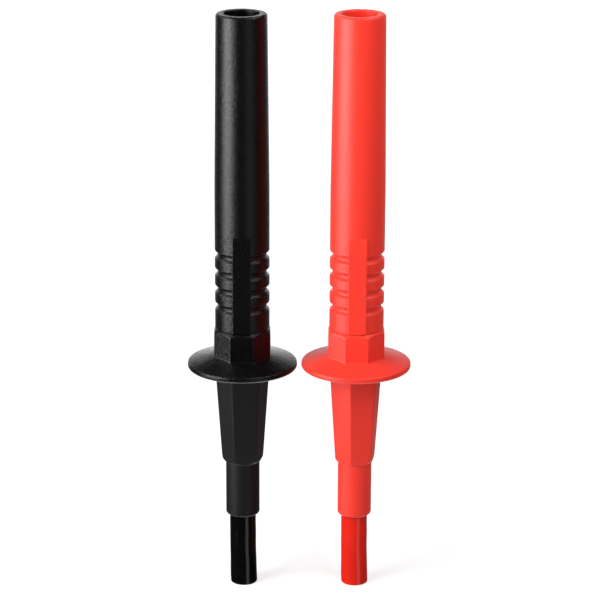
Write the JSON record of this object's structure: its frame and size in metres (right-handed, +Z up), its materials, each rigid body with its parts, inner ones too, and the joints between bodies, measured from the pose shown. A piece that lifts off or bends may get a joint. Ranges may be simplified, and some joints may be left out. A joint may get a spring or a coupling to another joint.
{
  "type": "fused test probe pair",
  "caption": "Pair of fused test probes with shrouded rear plug sockets, ribbed handles, round finger guards, screw-on hexagonal noses and soft pull-off tip caps.",
  "frame": {"origin": "midway between the two probes' axes, level with the lower ends of the tip caps", "axes": "+Z up along both probes from the tips to the rear sockets, +X from the black probe to the red one, -Y towards the side that the picture shows"},
  "size_m": [0.0536, 0.0262, 0.1422],
  "materials": {
    "black_plastic": "finely grained black moulding",
    "red_plastic": "satin red moulding",
    "black_vinyl": "soft glossy black vinyl",
    "red_vinyl": "soft glossy red vinyl",
    "brass": "turned",
    "nickel_plate": "nickel plated",
    "spring_steel": "drawn wire",
    "stainless_steel": "ground and polished",
    "fuse_glass": "clear tube",
    "fuse_wire": "tinned wire"
  },
  "bodies": {
    "handles": {"black_handle": "black_plastic", "black_socket": "brass", "black_socket_nut": "brass", "black_contact_spring": "spring_steel", "black_finger_guard": "black_plastic", "red_handle": "red_plastic", "red_socket": "brass", "red_socket_nut": "brass", "red_contact_spring": "spring_steel", "red_finger_guard": "red_plastic"},
    "black_fuse": {"black_fuse_glass": "fuse_glass", "black_fuse_wire": "fuse_wire", "black_fuse_front_end": "nickel_plate", "black_fuse_rear_end": "nickel_plate"},
    "black_nose": {"black_nose": "black_plastic", "black_front_contact": "brass", "black_needle": "stainless_steel"},
    "black_cap": {"black_tip_cap": "black_vinyl"},
    "red_fuse": {"red_fuse_glass": "fuse_glass", "red_fuse_wire": "fuse_wire", "red_fuse_front_end": "nickel_plate", "red_fuse_rear_end": "nickel_plate"},
    "red_nose": {"red_nose": "red_plastic", "red_front_contact": "brass", "red_needle": "stainless_steel"},
    "red_cap": {"red_tip_cap": "red_vinyl"}
  },
  "joints": [
    {"name": "black_fuse_feed", "type": "slide", "parent": "handles", "child": "black_fuse", "axis": [0, 0, -1], "range_m": [0, 0.00625], "deforming": ["black_contact_spring"]},
    {"name": "black_nose_unscrew", "type": "hinge", "parent": "black_fuse", "child": "black_nose", "pos_m": [-0.01365, 0, 0.05625], "axis": [0, 0, -1], "range_deg": [0, 1800]},
    {"name": "black_cap_pull", "type": "slide", "parent": "black_nose", "child": "black_cap", "axis": [0, 0, -1], "range_m": [0, 0.02]},
    {"name": "red_fuse_feed", "type": "slide", "parent": "handles", "child": "red_fuse", "axis": [0, 0, -1], "range_m": [0, 0.00625], "deforming": ["red_contact_spring"]},
    {"name": "red_nose_unscrew", "type": "hinge", "parent": "red_fuse", "child": "red_nose", "pos_m": [0.01365, 0, 0.05625], "axis": [0, 0, -1], "range_deg": [0, 1800]},
    {"name": "red_cap_pull", "type": "slide", "parent": "red_nose", "child": "red_cap", "axis": [0, 0, -1], "range_m": [0, 0.02]}
  ],
  "couplings": [
    {"joint": "black_nose_unscrew", "follows": "black_fuse_feed", "rad_per_m": 5026.5},
    {"joint": "red_nose_unscrew", "follows": "red_fuse_feed", "rad_per_m": 5026.5}
  ]
}
